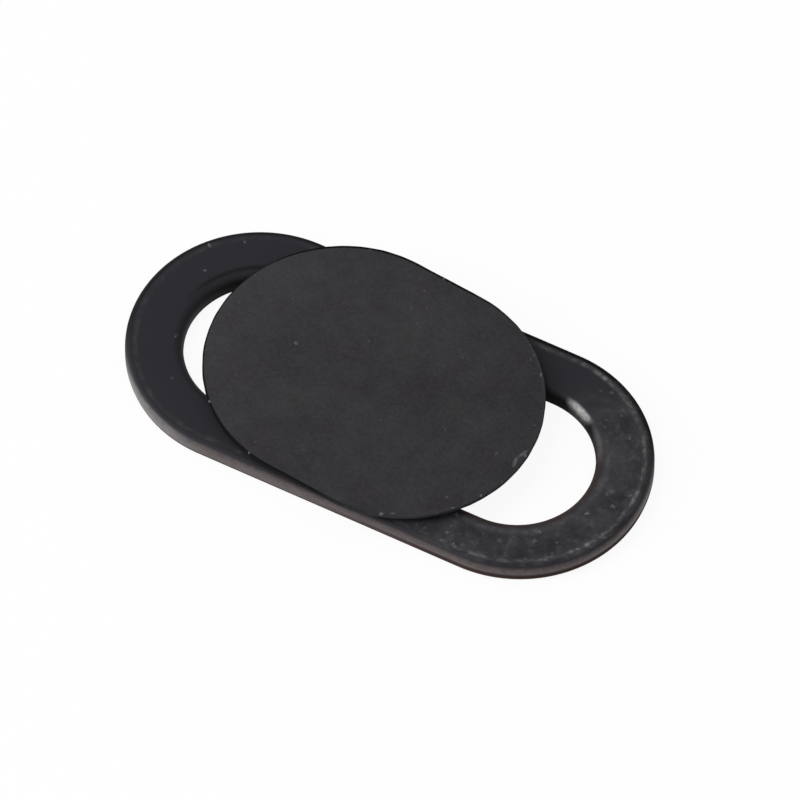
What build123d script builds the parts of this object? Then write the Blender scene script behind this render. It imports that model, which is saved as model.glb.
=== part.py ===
from build123d import *
import os
from math import cos, radians, sin

os.makedirs("parts", exist_ok=True)

# A webcam cover: a ring that sticks to the screen round the lens, and a thin plate that slides over its slot.
# The origin is the centre of the adhesive face. +X runs along the slide and +Z points away from the screen.

# Ring
frame_length = 18.75
frame_width = 9.0
frame_thickness = 0.55
outer_top_radius = 0.24
outer_bottom_radius = 0.03

# Slot through the ring, with a softened upper edge
slot_length = 14.82
slot_width = 5.26
slot_edge_radius = 0.36

# Recess in the ring's underside, on both long sides of the slot, where the shoe's wings run
recess_step = 0.90
recess_depth = 0.18
recess_corner_radius = 0.50

# Double-sided tape under the ring
adhesive_thickness = 0.10
adhesive_inset = 0.03

# Cover plate, with a thin rim and a bevel below it
plate_length = 11.83
plate_width = 9.44
plate_thickness = 0.35
plate_rim_thickness = 0.18
plate_bevel_width = 0.35
plate_top_radius = 0.05
plate_running_gap = 0.05

# Shoe under the plate: a stem that fills the slot loosely, and two wings that hook under the ring
stem_length = 7.4
stem_side_play = 0.42
wing_length = 1.2
wing_thickness = 0.16
wing_side_play = 0.40
wing_top_gap = 0.05
wing_corner_radius = 0.40
wing_end_gap = 0.10
stop_gap = 0.26

# The slider's place as it lies: off centre along the slot, turned in its play and leaning on the far wall
slider_x = -0.67
slider_turn = -5.2
lean_gap = 0.10

# Heights of the layers above the screen
frame_bottom = adhesive_thickness
frame_top = frame_bottom + frame_thickness
wing_top = frame_bottom + recess_depth - wing_top_gap
wing_bottom = wing_top - wing_thickness
plate_bottom = frame_top + plate_running_gap

# Widths that follow from the slot and its recess
stem_width = slot_width - 2 * stem_side_play
recess_width = slot_width + 2 * recess_step
wing_width = recess_width - 2 * wing_side_play

# Reach of the turned stem and wings along and across the slot
turn_cos = cos(radians(slider_turn))
turn_sin = abs(sin(radians(slider_turn)))
stem_straight = stem_length - stem_width
stem_reach_along = stem_width + stem_straight * turn_cos
stem_reach_across = stem_width + stem_straight * turn_sin
wing_reach_along = wing_length * turn_cos + wing_width * turn_sin
slider_y = (slot_width - stem_reach_across) / 2 - lean_gap
slide_travel = slot_length - stem_reach_along - 2 * stop_gap
recess_length = slide_travel + wing_reach_along + 2 * wing_end_gap
slider_pose = Location((slider_x, slider_y, 0), (0, 0, slider_turn))


def layer(height):
    return Plane.XY.offset(height)


# Ring with its slot, rounded edges and the wing recess below
with BuildPart() as frame:
    with BuildSketch(layer(frame_bottom)):
        SlotOverall(frame_length, frame_width)
        SlotOverall(slot_length, slot_width, mode=Mode.SUBTRACT)
    extrude(amount=frame_thickness)
    top_face = frame.faces().sort_by(Axis.Z)[-1]
    bottom_face = frame.faces().sort_by(Axis.Z)[0]
    fillet(top_face.outer_wire().edges(), outer_top_radius)
    fillet(top_face.inner_wires()[0].edges(), slot_edge_radius)
    fillet(bottom_face.outer_wire().edges(), outer_bottom_radius)
    with BuildSketch(layer(frame_bottom)):
        RectangleRounded(recess_length, recess_width, recess_corner_radius)
    extrude(amount=recess_depth, mode=Mode.SUBTRACT)

# Tape cut to the ring's flat underside, just inside its edges
with BuildPart() as adhesive_ring:
    with BuildSketch(layer(0)):
        SlotOverall(frame_length - 2 * adhesive_inset, frame_width - 2 * adhesive_inset)
        SlotOverall(slot_length + 2 * adhesive_inset, slot_width + 2 * adhesive_inset, mode=Mode.SUBTRACT)
        RectangleRounded(
            recess_length + 2 * adhesive_inset,
            recess_width + 2 * adhesive_inset,
            recess_corner_radius + adhesive_inset,
            mode=Mode.SUBTRACT,
        )
    extrude(amount=adhesive_thickness)

# Cover plate, built square to the slot and then turned to its place
with BuildPart() as cover_plate:
    with BuildSketch(layer(plate_bottom)):
        SlotOverall(plate_length, plate_width)
    extrude(amount=plate_thickness)
    fillet(cover_plate.faces().sort_by(Axis.Z)[-1].edges(), plate_top_radius)
    underside = cover_plate.faces().sort_by(Axis.Z)[0]
    bevel_height = plate_thickness - plate_rim_thickness
    chamfer(underside.edges(), plate_bevel_width, bevel_height, reference=underside)

# Shoe, whose stem reaches up through the slot to the plate's underside
with BuildPart() as slide_shoe:
    with BuildSketch(layer(wing_bottom)):
        SlotOverall(stem_length, stem_width)
    extrude(amount=plate_bottom - wing_bottom)
    with BuildSketch(layer(wing_bottom)):
        RectangleRounded(wing_length, wing_width, wing_corner_radius)
    extrude(amount=wing_thickness)

export_step(frame.part, "parts/frame.step")
export_step(adhesive_ring.part, "parts/adhesive_ring.step")
export_step(slider_pose * cover_plate.part, "parts/cover_plate.step")
export_step(slider_pose * slide_shoe.part, "parts/slide_shoe.step")

print("slide travel", round(slide_travel, 3), "from", round(-slide_travel / 2 - slider_x, 3))
print("slider_y", round(slider_y, 3), "recess", round(recess_length, 3), "x", round(recess_width, 3))
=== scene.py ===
import math

import bmesh
import bpy
from mathutils import Matrix, Vector, noise


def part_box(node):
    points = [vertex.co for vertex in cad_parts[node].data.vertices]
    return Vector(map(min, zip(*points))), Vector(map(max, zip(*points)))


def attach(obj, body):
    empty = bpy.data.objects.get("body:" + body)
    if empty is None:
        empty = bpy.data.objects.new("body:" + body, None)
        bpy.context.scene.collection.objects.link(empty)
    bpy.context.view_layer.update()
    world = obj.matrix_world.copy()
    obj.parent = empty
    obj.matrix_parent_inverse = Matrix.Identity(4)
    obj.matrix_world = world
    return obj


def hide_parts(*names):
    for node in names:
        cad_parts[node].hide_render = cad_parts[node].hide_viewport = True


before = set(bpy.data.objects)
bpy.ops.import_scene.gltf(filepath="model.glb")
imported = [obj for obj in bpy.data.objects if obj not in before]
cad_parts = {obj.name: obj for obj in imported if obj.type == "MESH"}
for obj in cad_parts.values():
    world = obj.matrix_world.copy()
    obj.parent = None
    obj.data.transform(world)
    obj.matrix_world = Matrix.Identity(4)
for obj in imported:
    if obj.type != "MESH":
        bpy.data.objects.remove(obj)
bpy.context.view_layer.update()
scene = bpy.context.scene
scene.view_settings.view_transform = "Standard"

mm = 0.001  # pieces are shaped in millimetres and brought to metres as they are finished
plainWhite = (1, 1, 1, 1)
print("frame loaded with", sorted(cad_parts))


# camera, at the photograph's view
cameraView = {
    "azimuth": 27.166,                # degrees round from the near side
    "elevation": 57.564,
    "distance": 500.0,                # mm from the origin
    "pixelsPerMm": 29.957,
    "originPixel": (389.15, 408.80),  # where the part's origin shows
    "frameSize": 800,                 # pixels
    "sensorWidth": 36.0,              # mm
    "clip": (0.01, 10.0),             # metres, nearest and farthest
}


def placeCamera(view):
    turn = math.radians(view["azimuth"])
    tilt = math.radians(view["elevation"])
    back = Vector((math.sin(turn) * math.cos(tilt), -math.cos(turn) * math.cos(tilt), math.sin(tilt)))
    right = Vector((math.cos(turn), math.sin(turn), 0))
    up = back.cross(right)
    centre = view["frameSize"] / 2
    across = (centre - view["originPixel"][0]) / view["pixelsPerMm"]
    above = (view["originPixel"][1] - centre) / view["pixelsPerMm"]
    place = (back * view["distance"] + right * across + up * above) * mm
    lens = bpy.data.cameras.new("photoCamera")
    lens.sensor_width = view["sensorWidth"]
    lens.lens = view["sensorWidth"] * view["pixelsPerMm"] * view["distance"] / view["frameSize"]
    lens.clip_start, lens.clip_end = view["clip"]
    camera = bpy.data.objects.new("photoCamera", lens)
    axes = Matrix((right, up, back)).transposed().to_4x4()
    camera.matrix_world = Matrix.Translation(place) @ axes
    scene.collection.objects.link(camera)
    scene.camera = camera


placeCamera(cameraView)
print("camera placed")


# small helpers for materials
def linear(hexColour):
    # sRGB to the linear values that shaders take
    shares = [int(hexColour[i:i + 2], 16) / 255 for i in (1, 3, 5)]
    return tuple(c / 12.92 if c <= 0.04045 else ((c + 0.055) / 1.055) ** 2.4 for c in shares) + (1,)


def addNode(tree, kind, settings=None, links=None):
    # sockets go by name, or by number where names repeat: a Mix's values are 2 and 3, its colours 6 and 7
    node = tree.nodes.new(kind)
    for name, value in (settings or {}).items():
        if isinstance(name, int) or name in node.inputs:
            node.inputs[name].default_value = value
        else:
            setattr(node, name, value)
    for socket, source in (links or {}).items():
        tree.links.new(source, node.inputs[socket])
    return next((output for output in node.outputs if output.enabled), None)  # the first result in use


def startMaterial(name):
    material = bpy.data.materials.new(name)
    material.use_nodes = True
    material.node_tree.nodes.clear()
    return material, material.node_tree


# pale floor
floorLook = {
    "size": 3.0,            # metres
    "drop": 0.02,           # mm below the tape, so that the two faces do not share a plane
    "paint": "#fafafa",
    "glow": 0.92,           # share of white that lamps don't shade, as the eye sees it
    "mirrorGlow": 0.35,     # and as reflections see it, so that the object darkens its own floor
}


def seamlessPaper():
    # seamless paper: white to the eye and to reflections, and it keeps a soft shadow
    material, tree = startMaterial("seamless white paper")
    rays = addNode(tree, "ShaderNodeLightPath").node.outputs
    seen = addNode(tree, "ShaderNodeMath", {"operation": "MULTIPLY", 1: floorLook["glow"]},
                   {0: rays["Is Camera Ray"]})
    mirrored = addNode(tree, "ShaderNodeMath", {"operation": "MAXIMUM"},
                       {0: rays["Is Glossy Ray"], 1: rays["Is Transmission Ray"]})
    share = addNode(tree, "ShaderNodeMath", {"operation": "MULTIPLY_ADD", 1: floorLook["mirrorGlow"]},
                    {0: mirrored, 2: seen})
    paper = addNode(tree, "ShaderNodeBsdfDiffuse", {"Color": linear(floorLook["paint"])})
    glow = addNode(tree, "ShaderNodeEmission", {"Color": plainWhite, "Strength": 1.0})
    lit = addNode(tree, "ShaderNodeMixShader", {}, {0: share, 1: paper, 2: glow})
    clear = addNode(tree, "ShaderNodeBsdfTransparent")
    below = addNode(tree, "ShaderNodeNewGeometry").node.outputs["Backfacing"]
    both = addNode(tree, "ShaderNodeMixShader", {}, {0: below, 1: lit, 2: clear})  # open from below
    addNode(tree, "ShaderNodeOutputMaterial", {}, {"Surface": both})
    return material


def layFloor():
    bm = bmesh.new()
    bmesh.ops.create_grid(bm, x_segments=1, y_segments=1, size=floorLook["size"] / 2)
    bmesh.ops.translate(bm, vec=(0, 0, -floorLook["drop"] * mm), verts=bm.verts)
    mesh = bpy.data.meshes.new("floor")
    bm.to_mesh(mesh)
    bm.free()
    mesh.materials.append(seamlessPaper())
    floor = bpy.data.objects.new("floor", mesh)
    scene.collection.objects.link(floor)


layFloor()
print("floor laid")


# studio: soft light from all round, a broad top box, and a tall box low on the left that rounded edges mirror
studio = {
    "ambient": 0.50,            # world light on diffuse surfaces
    "ceiling": 0.14,            # what reflections see overhead
    "whiteTo": -0.02,           # height on the unit sphere where the white horizon starts to fade
    "dimFrom": 0.20,            # and where the dim ceiling begins
    # boxes: distances and sizes in metres, and whether reflections show them
    "topBox": {"towards": (-0.45, -0.10, 0.88), "distance": 0.40, "size": (0.24, 0.24), "watts": 0.55,
               "mirrored": False},
    "sideBox": {"towards": (-0.729, -0.550, 0.407), "distance": 0.30, "size": (0.07, 0.20), "watts": 0.42,
                "mirrored": True},
}


def lightWorld():
    world = bpy.data.worlds.new("studio")
    world.use_nodes = True
    scene.world = world
    tree = world.node_tree
    tree.nodes.clear()
    rays = addNode(tree, "ShaderNodeLightPath").node.outputs
    mirrored = addNode(tree, "ShaderNodeMath", {"operation": "MAXIMUM"},
                       {0: rays["Is Glossy Ray"], 1: rays["Is Transmission Ray"]})
    direction = addNode(tree, "ShaderNodeTexCoord").node.outputs["Generated"]
    height = addNode(tree, "ShaderNodeSeparateXYZ", {}, {0: direction}).node.outputs["Z"]
    fade = addNode(tree, "ShaderNodeMapRange",
                   {"interpolation_type": "SMOOTHSTEP", "From Min": studio["whiteTo"],
                    "From Max": studio["dimFrom"], "To Min": 1.0, "To Max": studio["ceiling"]},
                   {"Value": height})
    soft = addNode(tree, "ShaderNodeBackground", {"Color": plainWhite, "Strength": studio["ambient"]})
    room = addNode(tree, "ShaderNodeBackground", {"Color": plainWhite}, {"Strength": fade})
    backdrop = addNode(tree, "ShaderNodeBackground", {"Color": plainWhite, "Strength": 1.0})
    mixed = addNode(tree, "ShaderNodeMixShader", {}, {0: mirrored, 1: soft, 2: room})
    mixed = addNode(tree, "ShaderNodeMixShader", {}, {0: rays["Is Camera Ray"], 1: mixed, 2: backdrop})
    addNode(tree, "ShaderNodeOutputWorld", {}, {"Surface": mixed})


def hangLight(name, box):
    lamp = bpy.data.lights.new(name, "AREA")
    lamp.shape = "RECTANGLE"
    lamp.size, lamp.size_y = box["size"]
    lamp.energy = box["watts"]
    towards = Vector(box["towards"]).normalized()
    aim = towards.to_track_quat("Z", "Y").to_matrix().to_4x4()
    light = bpy.data.objects.new(name, lamp)
    light.matrix_world = Matrix.Translation(towards * box["distance"]) @ aim
    light.visible_glossy = box["mirrored"]
    scene.collection.objects.link(light)


lightWorld()
hangLight("topBox", studio["topBox"])
hangLight("sideBox", studio["sideBox"])
print("studio lit")


# patterns that the materials build on
pattern = {
    "speckShake": 0.35,      # share of a cell by which a speck's outline is shaken
    "speckSmallest": 0.3,    # smallest speck against the widest
    "spotFullTo": 0.3,        # share of a spot's half size that is at full strength
    "spotNoise": {"From Min": 0.34, "From Max": 0.60},
}


def millimetres(tree, at=(0, 0), turn=0):
    # the piece's own coordinates in millimetres, centred and turned with it
    coords = addNode(tree, "ShaderNodeTexCoord").node.outputs["Object"]
    return addNode(tree, "ShaderNodeMapping",
                   {"vector_type": "TEXTURE", "Location": (at[0] * mm, at[1] * mm, 0),
                    "Rotation": (0, 0, math.radians(turn)), "Scale": (mm, mm, mm)}, {"Vector": coords})


def middleLine(tree, place, reach):
    # distance of a point from a stadium's middle line, in millimetres
    along = addNode(tree, "ShaderNodeSeparateXYZ", {}, {0: place}).node.outputs
    past = addNode(tree, "ShaderNodeMath", {"operation": "ABSOLUTE"}, {0: along["X"]})
    past = addNode(tree, "ShaderNodeMath", {"operation": "SUBTRACT", 1: reach}, {0: past})
    past = addNode(tree, "ShaderNodeMath", {"operation": "MAXIMUM", 1: 0.0}, {0: past})
    across = addNode(tree, "ShaderNodeCombineXYZ", {}, {"X": past, "Y": along["Y"]})
    return addNode(tree, "ShaderNodeVectorMath", {"operation": "LENGTH"}, {0: across})


def softLine(tree, distance, line):
    # strongest along a line that keeps one distance, fading to nothing at its width
    off = addNode(tree, "ShaderNodeMath", {"operation": "SUBTRACT", 1: line["at"]}, {0: distance})
    off = addNode(tree, "ShaderNodeMath", {"operation": "ABSOLUTE"}, {0: off})
    return addNode(tree, "ShaderNodeMapRange",
                   {"From Min": line["width"], "From Max": line["core"], "To Max": line["strength"]},
                   {"Value": off})


def scatterSpecks(tree, place, specks):
    # ragged specks, at most one to a cell, each of its own size and strength, with a chance to keep it by
    cell = specks["cell"]
    shake = cell * pattern["speckShake"]
    ragged = addNode(tree, "ShaderNodeTexNoise", {"Scale": 1 / shake, "Detail": 2.0}, {"Vector": place})
    ragged = addNode(tree, "ShaderNodeVectorMath",
                     {"operation": "MULTIPLY_ADD", 1: (2 * shake,) * 3, 2: (-shake,) * 3},
                     {0: ragged.node.outputs["Color"]})
    ragged = addNode(tree, "ShaderNodeVectorMath", {"operation": "ADD"}, {0: place, 1: ragged})
    cells = addNode(tree, "ShaderNodeTexVoronoi", {"voronoi_dimensions": "2D", "Scale": 1 / cell},
                    {"Vector": ragged}).node.outputs
    chance = addNode(tree, "ShaderNodeSeparateColor", {}, {0: cells["Color"]}).node.outputs
    radius = specks["widest"] / cell / 2
    size = addNode(tree, "ShaderNodeMapRange",
                   {"To Min": radius * pattern["speckSmallest"], "To Max": radius}, {"Value": chance["Blue"]})
    dot = addNode(tree, "ShaderNodeMath", {"operation": "DIVIDE"}, {0: cells["Distance"], 1: size})
    dot = addNode(tree, "ShaderNodeMapRange", {"From Min": 1.0, "From Max": specks["core"]}, {"Value": dot})
    strength = addNode(tree, "ShaderNodeMapRange",
                       {"To Min": specks["faintest"], "To Max": specks["strongest"]},
                       {"Value": chance["Green"]})
    speck = addNode(tree, "ShaderNodeMath", {"operation": "MULTIPLY"}, {0: dot, 1: strength})
    return speck, chance["Red"]


def rubAndHighlightSpot(tree, place, spot):
    # strongest in the middle of one given oval, falling to nothing at its rim
    oval = addNode(tree, "ShaderNodeMapping",
                   {"vector_type": "TEXTURE", "Location": spot["at"] + (0,),
                    "Rotation": (0, 0, math.radians(spot["turn"])), "Scale": spot["half"] + (1,)},
                   {"Vector": place})
    flat = addNode(tree, "ShaderNodeVectorMath", {"operation": "MULTIPLY", 1: (1, 1, 0)}, {0: oval})
    far = addNode(tree, "ShaderNodeVectorMath", {"operation": "LENGTH"}, {0: flat})
    inside = addNode(tree, "ShaderNodeMapRange",
                     {"interpolation_type": "SMOOTHSTEP", "From Min": 1.0, "From Max": pattern["spotFullTo"]},
                     {"Value": far})
    broken = addNode(tree, "ShaderNodeTexNoise", {"Scale": 1 / spot["streak"], "Detail": 3.0},
                     {"Vector": place})
    broken = addNode(tree, "ShaderNodeMapRange", {**pattern["spotNoise"], "To Min": spot["evenness"]},
                     {"Value": broken})
    rubAndHighlight = addNode(tree, "ShaderNodeMath", {"operation": "MULTIPLY"}, {0: inside, 1: broken})
    return addNode(tree, "ShaderNodeMath", {"operation": "MULTIPLY", 1: spot["strength"]}, {0: rubAndHighlight})


print("patterns ready")


# small helpers for shaping
shaping = {
    "sameHeight": 0.001,     # mm
    "sharpEdge": 1.0,        # radians between the faces of an edge that gets rounded
    "mergeGap": 0.0005,      # mm
    "cutPast": 0.1,          # mm by which a cutter passes the face that it opens
}


def nodeBox(node):
    low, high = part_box(node)
    return low / mm, high / mm


def stadiumLoop(bm, length, width, height, arcSteps, sideCuts):
    # a closed loop of edges: two half circles by spin, joined by two straight sides
    radius = width / 2
    reach = length / 2 - radius
    known = set(bm.edges)
    ends = []
    for side in (1, -1):
        first = bm.verts.new((side * reach, -side * radius, height))
        arc = bmesh.ops.spin(bm, geom=[first], cent=(side * reach, 0, height), axis=(0, 0, 1),
                             angle=math.pi, steps=arcSteps)
        last = [item for item in arc["geom_last"] if isinstance(item, bmesh.types.BMVert)][0]
        ends.append((first, last))
    sides = [bm.edges.new((ends[0][1], ends[1][0])), bm.edges.new((ends[1][1], ends[0][0]))]
    bmesh.ops.subdivide_edges(bm, edges=sides, cuts=sideCuts)
    return [edge for edge in bm.edges if edge not in known]


def raiseFaces(bm, faces, height):
    lifted = bmesh.ops.extrude_face_region(bm, geom=faces)["geom"]
    corners = [item for item in lifted if isinstance(item, bmesh.types.BMVert)]
    bmesh.ops.translate(bm, vec=(0, 0, height), verts=corners)
    bmesh.ops.recalc_face_normals(bm, faces=bm.faces[:])


def lineDistance(point, reach):
    # distance from the stadium's middle line
    return math.hypot(max(abs(point.x) - reach, 0), point.y)


def rimEdges(bm, height, reach=0.0, nearest=0.0, farthest=math.inf):
    # sharp edges at one height, within a range of distances from the middle line
    found = []
    for edge in bm.edges:
        level = all(abs(corner.co.z - height) < shaping["sameHeight"] for corner in edge.verts)
        if level and edge.is_manifold and edge.calc_face_angle() > shaping["sharpEdge"]:
            away = lineDistance(edge.verts[0].co, reach)
            if nearest < away < farthest:
                found.append(edge)
    return found


def roundEdges(bm, edges, radius, segments):
    bmesh.ops.bevel(bm, geom=edges, offset=radius, offset_type="OFFSET", affect="EDGES",
                    segments=segments, profile=0.5, material=-1, clamp_overlap=True)


def roundedBlock(length, width, corner, low, high, steps):
    bm = bmesh.new()
    bmesh.ops.create_grid(bm, x_segments=1, y_segments=1, size=0.5)
    bmesh.ops.scale(bm, vec=(length, width, 1), verts=bm.verts)
    bmesh.ops.translate(bm, vec=(0, 0, low), verts=bm.verts)
    bmesh.ops.bevel(bm, geom=bm.verts[:], offset=corner, offset_type="OFFSET", affect="VERTICES",
                    segments=steps, profile=0.5, material=-1)
    raiseFaces(bm, bm.faces[:], high - low)
    return bm


def carve(bm, tool, operation):
    # boolean of two closed meshes, applied at once
    pair = []
    for source in (bm, tool):
        mesh = bpy.data.meshes.new("carve")
        source.to_mesh(mesh)
        source.free()
        pair.append(bpy.data.objects.new("carve", mesh))
        scene.collection.objects.link(pair[-1])
    cut = pair[0].modifiers.new("carve", "BOOLEAN")
    cut.operation = operation
    cut.solver = "EXACT"
    cut.object = pair[1]
    shaped = bmesh.new()
    shaped.from_object(pair[0], bpy.context.evaluated_depsgraph_get())
    for part in pair:
        bpy.data.objects.remove(part)
    return shaped


def waverEdge(bm, reach, radius, waver):
    # a cut edge that wanders a little in and out
    for corner in bm.verts:
        if lineDistance(corner.co, reach) > radius - waver["band"]:
            middle = Vector((max(-reach, min(reach, corner.co.x)), 0, corner.co.z))
            outward = (corner.co - middle).normalized()
            place = Vector((corner.co.x, corner.co.y, 0)) / waver["length"]
            corner.co += outward * waver["depth"] * noise.noise(place)


def finishPiece(bm, name, material, body, node, sharpAngle):
    bmesh.ops.remove_doubles(bm, verts=bm.verts[:], dist=shaping["mergeGap"])
    bmesh.ops.recalc_face_normals(bm, faces=bm.faces[:])
    bmesh.ops.scale(bm, vec=(mm, mm, mm), verts=bm.verts)
    openEdges = sum(1 for edge in bm.edges if not edge.is_manifold)
    mesh = bpy.data.meshes.new(name)
    bm.to_mesh(mesh)
    bm.free()
    mesh.shade_smooth()
    mesh.set_sharp_from_angle(angle=math.radians(sharpAngle))
    mesh.materials.append(material)
    piece = bpy.data.objects.new(name, mesh)
    scene.collection.objects.link(piece)
    evened = piece.modifiers.new("even shading", "WEIGHTED_NORMAL")
    evened.keep_sharp = True
    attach(piece, body)
    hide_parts(node)
    print(name, "made:", len(mesh.polygons), "faces,", openEdges, "open edges")


# ring: its sizes and then its finish, with every length in mm
ring = {
    "slotLength": 14.82,
    "slotWidth": 5.26,
    "edgeRadius": 0.24,       # outer upper edge
    "slotEdgeRadius": 0.36,
    "footRadius": 0.03,
    "recessLength": 8.875,    # underside recess where the shoe's wings run
    "recessWidth": 7.06,
    "recessDepth": 0.18,
    "recessCorner": 0.5,
    "arcSteps": 96,
    "sideCuts": 48,
    "roundSteps": 10,
    "footSteps": 5,
    "sharpAngle": 40,         # degrees
    "farSide": (-0.46, 0.89, 0),  # direction across the ring
    "plastic": {
        "black": "#2c2a2f",
        "blueBlack": "#29282e",
        "driftSize": 2.4,     # from the one to the other
        "grainSize": 0.07,
        "grainDepth": 0.01,
        "grainStrength": 0.10,
        "rough": {"From Max": 0.3, "To Min": 0.50, "To Max": 0.85},  # from bare to dusty
        "ior": 1.5,
        "specular": 0.25,
    },
    "edge": {                 # painted shade: the rounded outer edge is darker on the far side, darkest towards the right end
        "dark": "#1a191c",
        "black": "#0a0a0b",
        "band": {"From Min": 0.24, "From Max": 0.19},     # in from the outer wall
        "far": {"From Min": -0.10, "From Max": 0.12},     # by how far it faces the far side
        "blacker": {"From Min": -3.0, "From Max": 2.5},   # along the ring
        "roughness": 0.90,
    },
    "wall": {                 # the outer wall facing the near side: warm grey with streaky scuffs, partly real wear and partly a painted reflection, paler towards the left end as painted light
        "warm": "#524a4a",
        "pale": "#676364",
        "band": {"From Min": 0.10, "From Max": 0.03},
        "near": {"From Min": -0.06, "From Max": -0.32},   # by how far it faces the far side
        "paler": {"From Min": -4.4, "From Max": -6.0},
        "streakSize": 0.22,
        "streakFlow": (1, 1, 1.6),                        # scuffs run along the wall
        "streak": {"From Min": 0.34, "From Max": 0.66, "To Min": 0.80, "To Max": 1.22},
        "roughness": 0.35,
    },
    "foot": {                 # glue along the wall's foot, at the dusty end
        "brown": "#33241f",
        "low": {"From Min": 0.34, "From Max": 0.22},
        "along": {"From Min": -1.0, "From Max": 4.0},
        "roughness": 0.95,
    },
    "slotWallShade": {             # painted shade: the slot's wall is dark, and less dark at its left end
        "black": "#151516",
        "band": {"From Min": 0.15, "From Max": 0.05},     # out from the slot
        "towardsLeft": (-0.83, -0.55, 0),
        "left": {"From Min": 4.4, "From Max": 6.0, "To Min": 1.0, "To Max": 0.20},
        "roughness": 0.95,
    },
    "creaseShade": {               # painted shade: a dark line above the slot's rim, at the far left, where a step in the rim would shade
        "black": "#131215",
        "line": {"at": 0.40, "width": 0.14, "core": 0.01, "strength": 0.80},
        "towardsFarLeft": (-0.77, 0.64, 0),
        "farLeft": {"From Min": 3.7, "From Max": 4.9},
        "behind": {"From Min": 0.3, "From Max": 1.3},
    },
    "dust": {
        "grey": "#94928f",
        "level": {"From Min": 0.75, "From Max": 0.97},    # it lies on faces that look up
        "dusty": {"From Min": 2.6, "From Max": 6.0, "interpolation_type": "SMOOTHSTEP"},
        "towardsVeil": (0.92, -0.39, 0),                  # the veil begins sooner on the near side
        "veiled": {"From Min": 3.2, "From Max": 5.8, "interpolation_type": "SMOOTHSTEP"},
        "veils": (                                        # size, and how strongly it shows
            (0.90, {"From Min": 0.40, "From Max": 0.66, "To Max": 0.082}),
            (0.30, {"From Min": 0.50, "From Max": 0.74, "To Max": 0.10}),
        ),
        "specks": {"cell": 0.34, "widest": 0.19, "faintest": 0.03, "strongest": 0.42, "core": 0.1},
        "speckShare": {"To Min": 0.02, "To Max": 0.32},   # of the cells, from bare to dusty
        "crumbSize": 0.26,
        "crumbs": {"From Min": 0.46, "From Max": 0.68},
        "spread": {"To Min": 0.18, "To Max": 1.0},        # of the outer crumbs, from bare to dusty
        "patchy": {"From Min": 0.42, "From Max": 0.58, "To Min": 1.15, "To Max": 0.55},
        "nearSide": {"From Min": 2.4, "From Max": 1.4},   # where the slot's crumbs lie
        "outerLine": {"at": 0.34, "width": 0.12, "core": 0.02, "strength": 0.46, "least": 0.22},
        "slotLine": {"at": 0.44, "width": 0.24, "core": 0.02, "strength": 0.30, "least": 0.50},
    },
    "rim": {                  # glue and dirt along the slot's rim, on the near side right of the slider
        "brown": "#352622",
        "band": {"From Min": 0.32, "From Max": 0.18, "To Max": 0.85},
        "near": {"From Min": 1.8, "From Max": 0.6},
        "right": {"From Min": 1.0, "From Max": 3.5},
        "upper": {"From Min": 0.34, "From Max": 0.48},
    },
    "rubAndHighlight": {                  # pale on the far rim where the slider knocks, with a faint tail: partly a rub, partly a painted highlight
        "grey": "#d0cecd",
        "line": {"at": 0.125, "width": 0.14, "core": 0.04, "strength": 1.0},
        "spots": (
            {"at": (5.86, 2.53), "turn": -23.0, "half": (0.72, 0.33), "streak": 0.13, "evenness": 0.56,
             "strength": 0.76},
            {"at": (7.05, 1.60), "turn": -55.0, "half": (0.95, 0.40), "streak": 0.20, "evenness": 0.60,
             "strength": 0.08},
        ),
    },
}


def ringPlaces(tree, outerReach, halfWidth, slotReach):
    # where a point of the ring lies: along the axes, in from the outer wall and out from the slot
    place = millimetres(tree)
    spot = addNode(tree, "ShaderNodeSeparateXYZ", {}, {0: place}).node.outputs
    inset = addNode(tree, "ShaderNodeMath", {"operation": "SUBTRACT", 0: halfWidth},
                    {1: middleLine(tree, place, outerReach)})
    outset = addNode(tree, "ShaderNodeMath", {"operation": "SUBTRACT", 1: ring["slotWidth"] / 2},
                     {0: middleLine(tree, place, slotReach)})
    normal = addNode(tree, "ShaderNodeNewGeometry").node.outputs["Normal"]
    facing = addNode(tree, "ShaderNodeSeparateXYZ", {}, {0: normal}).node.outputs
    farFacing = addNode(tree, "ShaderNodeVectorMath", {"operation": "DOT_PRODUCT", 1: ring["farSide"]},
                        {0: normal})
    return {"place": place, "x": spot["X"], "y": spot["Y"], "z": spot["Z"], "inset": inset, "outset": outset,
            "facingUp": facing["Z"], "facingFar": farFacing}


# painted shade on the far side of the rounded outer edge
def paintFarEdgeShade(tree, where, colour):
    look = ring["edge"]
    mask = addNode(tree, "ShaderNodeMapRange", look["band"], {"Value": where["inset"]})
    far = addNode(tree, "ShaderNodeMapRange", look["far"], {"Value": where["facingFar"]})
    mask = addNode(tree, "ShaderNodeMath", {"operation": "MULTIPLY"}, {0: mask, 1: far})
    blacker = addNode(tree, "ShaderNodeMapRange", look["blacker"], {"Value": where["x"]})
    paint = addNode(tree, "ShaderNodeMix",
                    {"data_type": "RGBA", 6: linear(look["dark"]), 7: linear(look["black"])}, {0: blacker})
    return addNode(tree, "ShaderNodeMix", {"data_type": "RGBA"}, {0: mask, 6: colour, 7: paint}), mask


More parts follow.
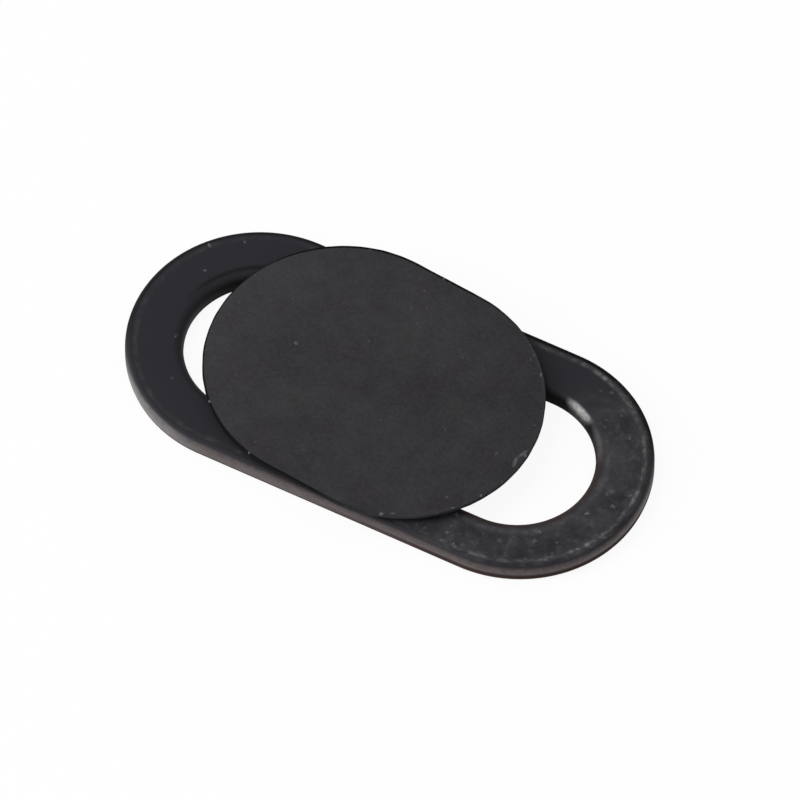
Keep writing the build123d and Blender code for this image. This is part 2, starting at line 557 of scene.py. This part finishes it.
def paintWallScuffsAndSheen(tree, where, colour):
    look = ring["wall"]
    # painted light: the wall paler towards the left end
    paler = addNode(tree, "ShaderNodeMapRange", look["paler"], {"Value": where["x"]})
    paint = addNode(tree, "ShaderNodeMix",
                    {"data_type": "RGBA", 6: linear(look["warm"]), 7: linear(look["pale"])}, {0: paler})
    flow = addNode(tree, "ShaderNodeVectorMath", {"operation": "MULTIPLY", 1: look["streakFlow"]},
                   {0: where["place"]})
    streak = addNode(tree, "ShaderNodeTexNoise",
                     {"Scale": 1 / look["streakSize"], "Detail": 4.0, "Roughness": 0.65}, {"Vector": flow})
    streak = addNode(tree, "ShaderNodeMapRange", look["streak"], {"Value": streak})
    paint = addNode(tree, "ShaderNodeVectorMath", {"operation": "MULTIPLY"}, {0: paint, 1: streak})

    # glue along the foot
    foot = addNode(tree, "ShaderNodeMapRange", ring["foot"]["low"], {"Value": where["z"]})
    along = addNode(tree, "ShaderNodeMapRange", ring["foot"]["along"], {"Value": where["x"]})
    foot = addNode(tree, "ShaderNodeMath", {"operation": "MULTIPLY"}, {0: foot, 1: along})
    paint = addNode(tree, "ShaderNodeMix", {"data_type": "RGBA", 7: linear(ring["foot"]["brown"])},
                    {0: foot, 6: paint})

    # the painted reflection lies only on faces turned to the near side
    mask = addNode(tree, "ShaderNodeMapRange", look["band"], {"Value": where["inset"]})
    near = addNode(tree, "ShaderNodeMapRange", look["near"], {"Value": where["facingFar"]})
    mask = addNode(tree, "ShaderNodeMath", {"operation": "MULTIPLY"}, {0: mask, 1: near})
    return addNode(tree, "ShaderNodeMix", {"data_type": "RGBA"}, {0: mask, 6: colour, 7: paint}), mask, foot


# painted shade on the slot's inner wall
def paintSlotWallShade(tree, where, colour):
    look = ring["slotWallShade"]
    mask = addNode(tree, "ShaderNodeMapRange", look["band"], {"Value": where["outset"]})
    left = addNode(tree, "ShaderNodeVectorMath", {"operation": "DOT_PRODUCT", 1: look["towardsLeft"]},
                   {0: where["place"]})
    left = addNode(tree, "ShaderNodeMapRange", look["left"], {"Value": left})
    mask = addNode(tree, "ShaderNodeMath", {"operation": "MULTIPLY"}, {0: mask, 1: left})
    return addNode(tree, "ShaderNodeMix", {"data_type": "RGBA", 7: linear(look["black"])},
                   {0: mask, 6: colour}), mask


# painted shade along the slot's rim at the far left
def paintCreaseShade(tree, where, colour):
    look = ring["creaseShade"]
    mask = softLine(tree, where["outset"], look["line"])
    farLeft = addNode(tree, "ShaderNodeVectorMath", {"operation": "DOT_PRODUCT", 1: look["towardsFarLeft"]},
                      {0: where["place"]})
    farLeft = addNode(tree, "ShaderNodeMapRange", look["farLeft"], {"Value": farLeft})
    behind = addNode(tree, "ShaderNodeMapRange", look["behind"], {"Value": where["y"]})
    for share in (farLeft, behind):
        mask = addNode(tree, "ShaderNodeMath", {"operation": "MULTIPLY"}, {0: mask, 1: share})
    return addNode(tree, "ShaderNodeMix", {"data_type": "RGBA", 7: linear(look["black"])},
                   {0: mask, 6: colour})


def layDust(tree, where, colour, drift):
    look = ring["dust"]
    place = where["place"]
    level = addNode(tree, "ShaderNodeMapRange", look["level"], {"Value": where["facingUp"]})
    veiled = addNode(tree, "ShaderNodeVectorMath", {"operation": "DOT_PRODUCT", 1: look["towardsVeil"]},
                     {0: place})
    veiled = addNode(tree, "ShaderNodeMapRange", look["veiled"], {"Value": veiled})
    veiled = addNode(tree, "ShaderNodeMath", {"operation": "MULTIPLY"}, {0: veiled, 1: level})

    # specks: a few everywhere, many at the dusty end
    share = addNode(tree, "ShaderNodeMapRange", look["speckShare"], {"Value": veiled})
    total, chance = scatterSpecks(tree, place, look["specks"])
    kept = addNode(tree, "ShaderNodeMath", {"operation": "LESS_THAN"}, {0: chance, 1: share})
    for mask in (kept, level):
        total = addNode(tree, "ShaderNodeMath", {"operation": "MULTIPLY"}, {0: total, 1: mask})

    # a thin grey veil with smudges in it
    for size, showing in look["veils"]:
        veil = addNode(tree, "ShaderNodeTexNoise", {"Scale": 1 / size, "Detail": 5.0, "Roughness": 0.65},
                       {"Vector": place})
        veil = addNode(tree, "ShaderNodeMapRange", showing, {"Value": veil})
        total = addNode(tree, "ShaderNodeMath", {"operation": "MULTIPLY_ADD"}, {0: veil, 1: veiled, 2: total})

    # broken pale lines: one inside the outer edge, fainter at the clean end, one round the slot's near side
    dusty = addNode(tree, "ShaderNodeMapRange", look["dusty"], {"Value": where["x"]})
    spread = addNode(tree, "ShaderNodeMapRange", look["spread"], {"Value": dusty})
    nearSide = addNode(tree, "ShaderNodeMapRange", look["nearSide"], {"Value": where["y"]})
    nearSide = addNode(tree, "ShaderNodeMath", {"operation": "MULTIPLY"}, {0: nearSide, 1: dusty})
    patchy = addNode(tree, "ShaderNodeMapRange", look["patchy"], {"Value": drift})
    flecks = addNode(tree, "ShaderNodeTexNoise", {"Scale": 1 / look["crumbSize"], "Detail": 2.0},
                     {"Vector": place})
    for distance, line, amount in ((where["inset"], look["outerLine"], spread),
                                   (where["outset"], look["slotLine"], nearSide)):
        crumbs = addNode(tree, "ShaderNodeMapRange", {**look["crumbs"], "To Min": line["least"]},
                         {"Value": flecks})
        band = softLine(tree, distance, line)
        for mask in (crumbs, amount, patchy):
            band = addNode(tree, "ShaderNodeMath", {"operation": "MULTIPLY"}, {0: band, 1: mask})
        total = addNode(tree, "ShaderNodeMath", {"operation": "MAXIMUM"}, {0: total, 1: band})
    return addNode(tree, "ShaderNodeMix", {"data_type": "RGBA", 7: linear(look["grey"])},
                   {0: total, 6: colour}), total


def paintRim(tree, where, colour):
    look = ring["rim"]
    mask = addNode(tree, "ShaderNodeMapRange", look["band"], {"Value": where["outset"]})
    for limit, along in (("near", "y"), ("right", "x"), ("upper", "z")):
        share = addNode(tree, "ShaderNodeMapRange", look[limit], {"Value": where[along]})
        mask = addNode(tree, "ShaderNodeMath", {"operation": "MULTIPLY"}, {0: mask, 1: share})
    return addNode(tree, "ShaderNodeMix", {"data_type": "RGBA", 7: linear(look["brown"])},
                   {0: mask, 6: colour})


# painted highlight on the slot's far rim, laid as a pale rub
def paintRimRubAndHighlight(tree, where, colour):
    look = ring["rubAndHighlight"]
    band = softLine(tree, where["outset"], look["line"])
    for spot in look["spots"]:
        mask = rubAndHighlightSpot(tree, where["place"], spot)
        mask = addNode(tree, "ShaderNodeMath", {"operation": "MULTIPLY"}, {0: mask, 1: band})
        colour = addNode(tree, "ShaderNodeMix", {"data_type": "RGBA", 7: linear(look["grey"])},
                         {0: mask, 6: colour})
    return colour


def mouldedRingAbs(outerReach, halfWidth, slotReach):
    # moulded black ABS: satin and faintly blue, with pale dust and specks at the end that fingers push
    look = ring["plastic"]
    material, tree = startMaterial("black ABS, moulded satin")
    where = ringPlaces(tree, outerReach, halfWidth, slotReach)
    drift = addNode(tree, "ShaderNodeTexNoise", {"Scale": 1 / look["driftSize"], "Detail": 3.0},
                    {"Vector": where["place"]})
    colour = addNode(tree, "ShaderNodeMix",
                     {"data_type": "RGBA", 6: linear(look["black"]), 7: linear(look["blueBlack"])},
                     {0: drift})
    colour, edge = paintFarEdgeShade(tree, where, colour)
    colour, wall, foot = paintWallScuffsAndSheen(tree, where, colour)
    colour, slotWallShade = paintSlotWallShade(tree, where, colour)
    colour = paintCreaseShade(tree, where, colour)
    colour, dust = layDust(tree, where, colour, drift)
    colour = paintRim(tree, where, colour)
    colour = paintRimRubAndHighlight(tree, where, colour)

    # dust, glue and the slot's wall are dull, the outer wall is smooth, and the mould left a fine grain
    rough = addNode(tree, "ShaderNodeMapRange", look["rough"], {"Value": dust})
    for region, mask in (("edge", edge), ("wall", wall), ("foot", foot), ("slotWallShade", slotWallShade)):
        rough = addNode(tree, "ShaderNodeMix", {3: ring[region]["roughness"]}, {0: mask, 2: rough})
    grain = addNode(tree, "ShaderNodeTexNoise", {"Scale": 1 / look["grainSize"], "Detail": 2.0},
                    {"Vector": where["place"]})
    bump = addNode(tree, "ShaderNodeBump",
                   {"Strength": look["grainStrength"], "Distance": look["grainDepth"] * mm},
                   {"Height": grain})
    shader = addNode(tree, "ShaderNodeBsdfPrincipled",
                     {"IOR": look["ior"], "Specular IOR Level": look["specular"]},
                     {"Base Color": colour, "Roughness": rough, "Normal": bump})
    addNode(tree, "ShaderNodeOutputMaterial", {}, {"Surface": shader})
    return material


def makeRing():
    low, high = nodeBox("frame")
    length = high.x - low.x
    width = high.y - low.y
    bm = bmesh.new()
    outer = stadiumLoop(bm, length, width, low.z, ring["arcSteps"], ring["sideCuts"])
    inner = stadiumLoop(bm, ring["slotLength"], ring["slotWidth"], low.z, ring["arcSteps"], ring["sideCuts"])
    strip = bmesh.ops.bridge_loops(bm, edges=outer + inner)["faces"]
    raiseFaces(bm, strip, high.z - low.z)
    reach = (length - width) / 2
    slotReach = (ring["slotLength"] - ring["slotWidth"]) / 2
    middle = (width + ring["slotWidth"]) / 4
    roundEdges(bm, rimEdges(bm, high.z, reach, nearest=middle), ring["edgeRadius"], ring["roundSteps"])
    roundEdges(bm, rimEdges(bm, high.z, reach, farthest=middle), ring["slotEdgeRadius"], ring["roundSteps"])
    roundEdges(bm, rimEdges(bm, low.z, reach, nearest=middle), ring["footRadius"], ring["footSteps"])
    recess = roundedBlock(ring["recessLength"], ring["recessWidth"], ring["recessCorner"],
                          low.z - shaping["cutPast"], low.z + ring["recessDepth"], ring["roundSteps"])
    bm = carve(bm, recess, "DIFFERENCE")
    material = mouldedRingAbs(reach, width / 2, slotReach)
    finishPiece(bm, "ring_body", material, "base", "frame", ring["sharpAngle"])


makeRing()


# tape, in mm
tape = {
    "margin": 0.03,           # it stands back from the slot and the recess
    "arcSteps": 72,
    "sideCuts": 30,
    "sharpAngle": 30,         # degrees
    "film": ("#382724", "#4c3733"),
    "smearSize": 0.7,
    "roughness": 0.9,
    "ior": 1.48,
}


def brownTape():
    # double-sided tape: thin dark brown film, dull at its cut edge
    material, tree = startMaterial("acrylic tape, dark brown film")
    smear = addNode(tree, "ShaderNodeTexNoise", {"Scale": 1 / tape["smearSize"], "Detail": 4.0},
                    {"Vector": millimetres(tree)})
    dark, light = tape["film"]
    tint = addNode(tree, "ShaderNodeMix", {"data_type": "RGBA", 6: linear(dark), 7: linear(light)},
                   {0: smear})
    shader = addNode(tree, "ShaderNodeBsdfPrincipled", {"Roughness": tape["roughness"], "IOR": tape["ior"]},
                     {"Base Color": tint})
    addNode(tree, "ShaderNodeOutputMaterial", {}, {"Surface": shader})
    return material


def makeTape():
    low, high = nodeBox("adhesive_ring")
    grown = 2 * tape["margin"]
    past = shaping["cutPast"]
    bm = bmesh.new()
    outer = stadiumLoop(bm, high.x - low.x, high.y - low.y, low.z, tape["arcSteps"], tape["sideCuts"])
    inner = stadiumLoop(bm, ring["slotLength"] + grown, ring["slotWidth"] + grown, low.z,
                        tape["arcSteps"], tape["sideCuts"])
    strip = bmesh.ops.bridge_loops(bm, edges=outer + inner)["faces"]
    raiseFaces(bm, strip, high.z - low.z)
    corner = ring["recessCorner"] + tape["margin"]
    opening = roundedBlock(ring["recessLength"] + grown, ring["recessWidth"] + grown, corner,
                           low.z - past, high.z + past, ring["roundSteps"])
    bm = carve(bm, opening, "DIFFERENCE")
    finishPiece(bm, "tape_ring", brownTape(), "base", "adhesive_ring", tape["sharpAngle"])


makeTape()


# shutter plate: its sizes and then its finish, with every length in mm
plate = {
    "length": 11.83,
    "width": 9.44,
    "turn": -5.2,             # degrees, as it lies in the slot's play
    "rimThickness": 0.18,     # the edge is thin, with a bevel below it
    "bevelWidth": 0.35,
    "topRadius": 0.05,
    "topSteps": 5,
    "bevelRadius": 0.03,
    "bevelSteps": 3,
    "waver": {"band": 0.1, "length": 0.45, "depth": 0.012},  # of the cut edge
    "arcSteps": 176,
    "sideCuts": 27,
    "sharpAngle": 22,         # degrees
    "face": {
        "purpleGrey": "#302d31",
        "greenGrey": "#2d2d2f",
        "patchSize": 1.3,
        "patch": {"From Min": 0.35, "From Max": 0.65},
        "grainSize": 0.10,
        "grainDepth": 0.012,
        "grainStrength": 0.25,
        "grain": {"From Min": 0.35, "From Max": 0.72, "To Max": 0.030},
        "hazes": (                                        # size, and how strongly it shows
            (0.80, {"From Min": 0.33, "From Max": 0.67, "To Max": 0.017}),
            (2.6, {"From Min": 0.33, "From Max": 0.67, "To Max": 0.022}),
        ),
        # painted shade: the face darker towards the right end, lighter towards the left
        "shadeSlope": {"From Min": 5.0, "From Max": -5.0, "To Min": -0.019, "To Max": 0.007},
        "chalk": "#a3a2a4",
        "specks": {"cell": 0.50, "widest": 0.15, "faintest": 0.04, "strongest": 0.30, "core": 0.2,
                   "share": 0.08},
        "scuffs": (
            {"at": (5.74, 0.18), "turn": -18.0, "half": (0.08, 0.32), "streak": 0.12, "evenness": 0.5,
             "strength": 0.24},
            {"at": (5.70, -0.22), "turn": 15.0, "half": (0.09, 0.28), "streak": 0.12, "evenness": 0.5,
             "strength": 0.28},
        ),
        "roughness": 0.60,
        "ior": 1.5,
        "specular": 0.15,
    },
    "side": {                 # painted shade: the cut side is dark, and on the far side so is the rounded edge
        "black": "#0a0a0b",
        "grey": "#39383b",    # towards the right end, where less shade is painted
        "band": {"From Min": 0.075, "From Max": 0.03},    # in from the cut edge
        "wider": {"From Min": 1.8, "From Max": 3.6, "To Max": 0.05},  # towards the far side
        "lessShadedRight": {"From Min": 0.5, "From Max": 4.0},
        "roughness": 0.92,
    },
    "chips": {                # pale chips along the upper edge
        "specks": {"cell": 0.30, "widest": 0.17, "faintest": 0.05, "strongest": 0.50, "core": 0.2,
                   "share": 0.50},
        "band": {"From Min": 0.16, "From Max": 0.064},
        "upper": {"From Min": 0.09, "From Max": 0.03},    # down from the top
    },
}


def keptSpecks(tree, place, specks):
    # scattered specks, of which a share of the cells keep theirs
    speck, chance = scatterSpecks(tree, place, specks)
    kept = addNode(tree, "ShaderNodeMath", {"operation": "LESS_THAN", 1: specks["share"]}, {0: chance})
    return addNode(tree, "ShaderNodeMath", {"operation": "MULTIPLY"}, {0: speck, 1: kept})


def plateFace(tree, place, spot):
    # patches of two near greys
    look = plate["face"]
    patch = addNode(tree, "ShaderNodeTexNoise",
                    {"Scale": 1 / look["patchSize"], "Detail": 4.0, "Roughness": 0.6}, {"Vector": place})
    patch = addNode(tree, "ShaderNodeMapRange", look["patch"], {"Value": patch})
    grey = addNode(tree, "ShaderNodeMix",
                   {"data_type": "RGBA", 6: linear(look["purpleGrey"]), 7: linear(look["greenGrey"])},
                   {0: patch})

    # lifted by the grain and a haze, and a little darker towards the right end as painted shade
    grain = addNode(tree, "ShaderNodeTexNoise",
                    {"Scale": 1 / look["grainSize"], "Detail": 3.0, "Roughness": 0.6}, {"Vector": place})
    total = addNode(tree, "ShaderNodeMapRange", look["grain"], {"Value": grain})
    for size, showing in look["hazes"]:
        haze = addNode(tree, "ShaderNodeTexNoise", {"Scale": 1 / size, "Detail": 3.0}, {"Vector": place})
        haze = addNode(tree, "ShaderNodeMapRange", showing, {"Value": haze})
        total = addNode(tree, "ShaderNodeMath", {"operation": "ADD"}, {0: total, 1: haze})
    shadeSlope = addNode(tree, "ShaderNodeMapRange", look["shadeSlope"], {"Value": spot["X"]})
    total = addNode(tree, "ShaderNodeMath", {"operation": "ADD"}, {0: total, 1: shadeSlope})

    # sparse pale specks, and a whitish scuff on the end that is pushed
    marks = [keptSpecks(tree, place, look["specks"])]
    marks += [rubAndHighlightSpot(tree, place, scuff) for scuff in look["scuffs"]]
    for mark in marks:
        total = addNode(tree, "ShaderNodeMath", {"operation": "MAXIMUM"}, {0: total, 1: mark})
    colour = addNode(tree, "ShaderNodeMix", {"data_type": "RGBA", 7: linear(look["chalk"])},
                     {0: total, 6: grey})
    return colour, grain


# painted shade on the plate's cut side and its far rounded edge
def paintPlateSideShade(tree, inset, spot, colour):
    look = plate["side"]
    wider = addNode(tree, "ShaderNodeMapRange", look["wider"], {"Value": spot["Y"]})
    mask = addNode(tree, "ShaderNodeMath", {"operation": "SUBTRACT"}, {0: inset, 1: wider})
    mask = addNode(tree, "ShaderNodeMapRange", look["band"], {"Value": mask})
    lessShadedRight = addNode(tree, "ShaderNodeMapRange", look["lessShadedRight"], {"Value": spot["X"]})
    paint = addNode(tree, "ShaderNodeMix",
                    {"data_type": "RGBA", 6: linear(look["black"]), 7: linear(look["grey"])}, {0: lessShadedRight})
    return addNode(tree, "ShaderNodeMix", {"data_type": "RGBA"}, {0: mask, 6: colour, 7: paint}), mask


def chipEdge(tree, place, inset, below, colour):
    look = plate["chips"]
    mask = keptSpecks(tree, place, look["specks"])
    for limit, distance in (("band", inset), ("upper", below)):
        share = addNode(tree, "ShaderNodeMapRange", look[limit], {"Value": distance})
        mask = addNode(tree, "ShaderNodeMath", {"operation": "MULTIPLY"}, {0: mask, 1: share})
    return addNode(tree, "ShaderNodeMix", {"data_type": "RGBA", 7: linear(plate["face"]["chalk"])},
                   {0: mask, 6: colour})


def matteCharcoalPlate(middle, top):
    # charcoal plastic sheet with a fine matte grain, faintly mottled, chalky where its cut edge is scuffed
    look = plate["face"]
    material, tree = startMaterial("charcoal plastic, matte grained")
    place = millimetres(tree, (middle.x, middle.y), plate["turn"])
    spot = addNode(tree, "ShaderNodeSeparateXYZ", {}, {0: place}).node.outputs
    away = middleLine(tree, place, (plate["length"] - plate["width"]) / 2)
    inset = addNode(tree, "ShaderNodeMath", {"operation": "SUBTRACT", 0: plate["width"] / 2}, {1: away})
    below = addNode(tree, "ShaderNodeMath", {"operation": "SUBTRACT", 0: top}, {1: spot["Z"]})
    colour, grain = plateFace(tree, place, spot)
    colour, side = paintPlateSideShade(tree, inset, spot, colour)
    colour = chipEdge(tree, place, inset, below, colour)
    rough = addNode(tree, "ShaderNodeMix", {2: look["roughness"], 3: plate["side"]["roughness"]}, {0: side})
    bump = addNode(tree, "ShaderNodeBump",
                   {"Strength": look["grainStrength"], "Distance": look["grainDepth"] * mm},
                   {"Height": grain})
    shader = addNode(tree, "ShaderNodeBsdfPrincipled",
                     {"IOR": look["ior"], "Specular IOR Level": look["specular"]},
                     {"Base Color": colour, "Roughness": rough, "Normal": bump})
    addNode(tree, "ShaderNodeOutputMaterial", {}, {"Surface": shader})
    return material


def setInSlot(bm):
    # from square on the origin to the slider's own place and turn
    low, high = nodeBox("cover_plate")
    middle = (low + high) / 2
    turned = Matrix.Rotation(math.radians(plate["turn"]), 3, "Z")
    bmesh.ops.rotate(bm, cent=(0, 0, 0), matrix=turned, verts=bm.verts)
    bmesh.ops.translate(bm, vec=(middle.x, middle.y, 0), verts=bm.verts)


def makePlate():
    low, high = nodeBox("cover_plate")
    rimFoot = high.z - plate["rimThickness"]
    bm = bmesh.new()
    loops = []
    for height, shrink in ((low.z, 2 * plate["bevelWidth"]), (rimFoot, 0), (high.z, 0)):
        loops.append(stadiumLoop(bm, plate["length"] - shrink, plate["width"] - shrink, height,
                                 plate["arcSteps"], plate["sideCuts"]))
    bmesh.ops.bridge_loops(bm, edges=loops[0] + loops[1])
    bmesh.ops.bridge_loops(bm, edges=loops[1] + loops[2])
    bmesh.ops.edgeloop_fill(bm, edges=loops[0])
    bmesh.ops.edgeloop_fill(bm, edges=loops[2])
    bmesh.ops.recalc_face_normals(bm, faces=bm.faces[:])
    roundEdges(bm, rimEdges(bm, high.z), plate["topRadius"], plate["topSteps"])
    roundEdges(bm, rimEdges(bm, rimFoot), plate["bevelRadius"], plate["bevelSteps"])
    waverEdge(bm, (plate["length"] - plate["width"]) / 2, plate["width"] / 2, plate["waver"])
    setInSlot(bm)
    material = matteCharcoalPlate((low + high) / 2, high.z)
    finishPiece(bm, "shutter_plate", material, "slider", "cover_plate", plate["sharpAngle"])


makePlate()


# shoe under the plate, in mm
shoe = {
    "stemLength": 7.4,
    "stemWidth": 4.42,
    "wingLength": 1.2,
    "wingWidth": 6.26,
    "wingThickness": 0.16,
    "wingCorner": 0.4,
    "wingSteps": 10,
    "arcSteps": 72,
    "sideCuts": 12,
    "sharpAngle": 30,         # degrees
    "black": "#1f1f21",
    "grainSize": 0.15,
    "grainDepth": 0.01,
    "grainStrength": 0.2,
    "roughness": 0.5,
    "ior": 1.5,
}


def plainShoeAbs():
    # plain moulded black ABS, matte from sliding
    material, tree = startMaterial("black ABS, moulded matte")
    grain = addNode(tree, "ShaderNodeTexNoise", {"Scale": 1 / shoe["grainSize"], "Detail": 3.0},
                    {"Vector": millimetres(tree)})
    bump = addNode(tree, "ShaderNodeBump",
                   {"Strength": shoe["grainStrength"], "Distance": shoe["grainDepth"] * mm},
                   {"Height": grain})
    shader = addNode(tree, "ShaderNodeBsdfPrincipled",
                     {"Base Color": linear(shoe["black"]), "Roughness": shoe["roughness"],
                      "IOR": shoe["ior"]},
                     {"Normal": bump})
    addNode(tree, "ShaderNodeOutputMaterial", {}, {"Surface": shader})
    return material


def makeShoe():
    low, high = nodeBox("slide_shoe")
    bm = bmesh.new()
    outline = stadiumLoop(bm, shoe["stemLength"], shoe["stemWidth"], low.z,
                          shoe["arcSteps"], shoe["sideCuts"])
    foot = bmesh.ops.edgeloop_fill(bm, edges=outline)["faces"]
    raiseFaces(bm, foot, high.z - low.z)
    wings = roundedBlock(shoe["wingLength"], shoe["wingWidth"], shoe["wingCorner"],
                         low.z, low.z + shoe["wingThickness"], shoe["wingSteps"])
    bm = carve(bm, wings, "UNION")
    setInSlot(bm)
    finishPiece(bm, "slide_shoe_body", plainShoeAbs(), "slider", "slide_shoe", shoe["sharpAngle"])


makeShoe()
